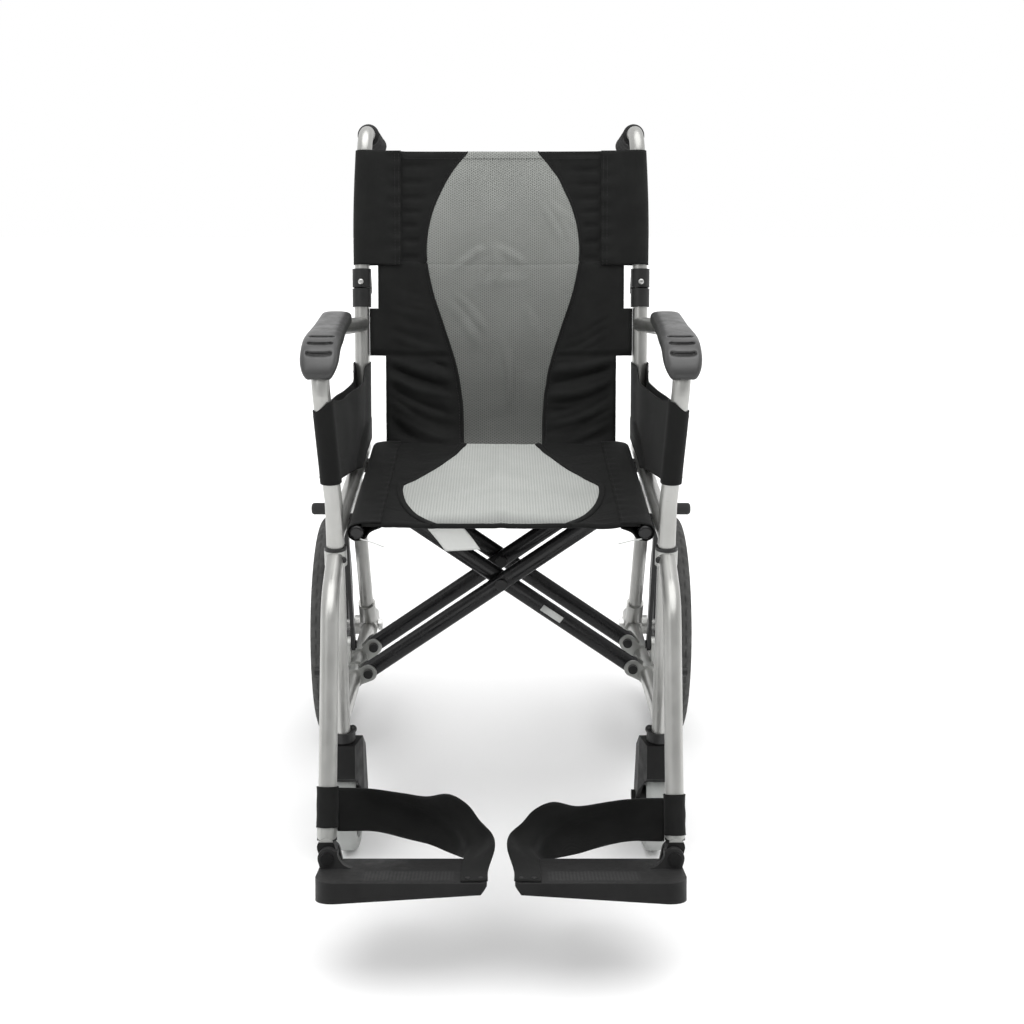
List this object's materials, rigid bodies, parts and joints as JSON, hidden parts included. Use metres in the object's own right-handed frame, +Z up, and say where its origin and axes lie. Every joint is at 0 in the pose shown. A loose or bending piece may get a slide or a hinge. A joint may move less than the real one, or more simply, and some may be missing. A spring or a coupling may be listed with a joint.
{
  "type": "folding transport wheelchair",
  "caption": "Attendant-pushed folding wheelchair on small rear wheels and casters, with a slung seat, fold-down back, armrests, flip-up footplates, heel loops and wheel locks.",
  "frame": {"origin": "on the floor, under the middle of the chair's bounding box", "axes": "+Z up, -Y the way the sitter faces, +X to the sitter's left"},
  "size_m": [0.564, 0.9571, 0.9276],
  "materials": {
    "frame_silver": "satin painted tube",
    "brace_black": "gloss black paint",
    "steel": "zinc plated",
    "black_plastic": "fine moulded grain",
    "pad_plastic": "moulded skin with a light sheen",
    "grip_rubber": "matte",
    "rear_tyre": "treaded",
    "rim_grey": "moulded",
    "caster_tread": "smooth grey",
    "black_fabric": "plain woven nylon",
    "grey_mesh": "knitted spacer mesh"
  },
  "bodies": {
    "right_frame": {"right_arm_frame_tube": "frame_silver", "right_seat_side_tube": "frame_silver", "right_lower_side_tube": "frame_silver", "right_rear_strut": "frame_silver", "right_back_cane_lower": "frame_silver", "right_axle_bracket": "frame_silver", "right_leg_tube": "frame_silver", "right_caster_housing": "black_plastic", "right_rear_axle": "steel", "right_arm_pad": "pad_plastic", "right_side_guard": "black_fabric", "right_hinge_lower": "black_plastic", "right_footplate_bracket": "black_plastic", "right_frame_brackets": "steel", "right_heel_strap": "black_fabric", "back_sling_lower": "black_fabric"},
    "right_upper_back": {"right_back_cane_upper": "frame_silver", "right_push_grip": "grip_rubber", "right_hinge_upper": "black_plastic", "back_sling_upper": "black_fabric"},
    "right_rear_wheel": {"right_rear_tyre": "rear_tyre", "right_rear_rim": "rim_grey", "right_wheel_bearings": "steel"},
    "right_caster": {"right_caster_fork": "black_plastic"},
    "right_caster_wheel": {"right_caster_tyre": "caster_tread", "right_caster_hub": "rim_grey"},
    "right_foot_rest": {"right_footplate": "black_plastic"},
    "right_brake": {"right_brake_lever": "steel"},
    "left_frame": {"left_arm_frame_tube": "frame_silver", "left_seat_side_tube": "frame_silver", "left_lower_side_tube": "frame_silver", "left_rear_strut": "frame_silver", "left_back_cane_lower": "frame_silver", "left_axle_bracket": "frame_silver", "left_leg_tube": "frame_silver", "left_caster_housing": "black_plastic", "left_rear_axle": "steel", "left_arm_pad": "pad_plastic", "left_side_guard": "black_fabric", "left_hinge_lower": "black_plastic", "left_footplate_bracket": "black_plastic", "left_frame_brackets": "steel", "left_heel_strap": "black_fabric"},
    "left_upper_back": {"left_back_cane_upper": "frame_silver", "left_push_grip": "grip_rubber", "left_hinge_upper": "black_plastic"},
    "left_rear_wheel": {"left_rear_tyre": "rear_tyre", "left_rear_rim": "rim_grey", "left_wheel_bearings": "steel"},
    "left_caster": {"left_caster_fork": "black_plastic"},
    "left_caster_wheel": {"left_caster_tyre": "caster_tread", "left_caster_hub": "rim_grey"},
    "left_foot_rest": {"left_footplate": "black_plastic"},
    "left_brake": {"left_brake_lever": "steel"},
    "right_brace": {"right_brace_arm": "brace_black", "left_seat_rail": "brace_black", "brace_centre_bolts": "steel", "seat_sling": "black_fabric"},
    "left_brace": {"left_brace_arm": "brace_black", "right_seat_rail": "brace_black"}
  },
  "joints": [
    {"name": "frame_fold", "type": "hinge", "parent": "right_frame", "child": "right_brace", "pos_m": [-0.186, -0.0115, 0.205], "axis": [0, -1, 0], "range_deg": [0, 35], "deforming": ["seat_sling", "back_sling_lower", "back_sling_upper"]},
    {"name": "brace_cross", "type": "hinge", "parent": "right_brace", "child": "left_brace", "pos_m": [0, -0.0115, 0.337], "axis": [0, -1, 0], "range_deg": [-70, 0]},
    {"name": "left_frame_fold", "type": "hinge", "parent": "left_brace", "child": "left_frame", "pos_m": [0.186, -0.0115, 0.205], "axis": [0, -1, 0], "range_deg": [0, 35]},
    {"name": "right_back_fold", "type": "hinge", "parent": "right_frame", "child": "right_upper_back", "pos_m": [-0.207, 0.28731, 0.69186], "axis": [-1, 0, 0], "range_deg": [0, 120]},
    {"name": "right_wheel_spin", "type": "hinge", "parent": "right_frame", "child": "right_rear_wheel", "pos_m": [-0.264, 0.2295, 0.1725], "axis": [1, 0, 0], "continuous": true},
    {"name": "right_caster_swivel", "type": "hinge", "parent": "right_frame", "child": "right_caster", "pos_m": [-0.206, -0.1885, 0.18], "axis": [0, 0, 1], "continuous": true},
    {"name": "right_caster_spin", "type": "hinge", "parent": "right_caster", "child": "right_caster_wheel", "pos_m": [-0.206, -0.1395, 0.075], "axis": [1, 0, 0], "continuous": true},
    {"name": "right_foot_flip", "type": "hinge", "parent": "right_frame", "child": "right_foot_rest", "pos_m": [-0.204, -0.4045, 0.137], "axis": [0, -0.9636, 0.2672], "range_deg": [0, 90], "deforming": ["right_heel_strap"]},
    {"name": "right_brake_throw", "type": "hinge", "parent": "right_frame", "child": "right_brake", "pos_m": [-0.212, 0.0195, 0.228], "axis": [1, 0, 0], "range_deg": [0, 38]},
    {"name": "left_back_fold", "type": "hinge", "parent": "left_frame", "child": "left_upper_back", "pos_m": [0.207, 0.28731, 0.69186], "axis": [-1, 0, 0], "range_deg": [0, 120]},
    {"name": "left_wheel_spin", "type": "hinge", "parent": "left_frame", "child": "left_rear_wheel", "pos_m": [0.264, 0.2295, 0.1725], "axis": [1, 0, 0], "continuous": true},
    {"name": "left_caster_swivel", "type": "hinge", "parent": "left_frame", "child": "left_caster", "pos_m": [0.206, -0.1885, 0.18], "axis": [0, 0, 1], "continuous": true},
    {"name": "left_caster_spin", "type": "hinge", "parent": "left_caster", "child": "left_caster_wheel", "pos_m": [0.206, -0.1395, 0.075], "axis": [1, 0, 0], "continuous": true},
    {"name": "left_foot_flip", "type": "hinge", "parent": "left_frame", "child": "left_foot_rest", "pos_m": [0.204, -0.4045, 0.137], "axis": [0, 0.9636, -0.2672], "range_deg": [0, 90], "deforming": ["left_heel_strap"]},
    {"name": "left_brake_throw", "type": "hinge", "parent": "left_frame", "child": "left_brake", "pos_m": [0.212, 0.0195, 0.228], "axis": [1, 0, 0], "range_deg": [0, 38]}
  ],
  "couplings": [
    {"joint": "brace_cross", "follows": "frame_fold", "ratio": -2},
    {"joint": "left_frame_fold", "follows": "frame_fold", "ratio": 1},
    {"joint": "right_foot_flip", "follows": "frame_fold", "ratio": 2.57},
    {"joint": "left_foot_flip", "follows": "frame_fold", "ratio": 2.57},
    {"joint": "left_back_fold", "follows": "right_back_fold", "ratio": 1}
  ]
}
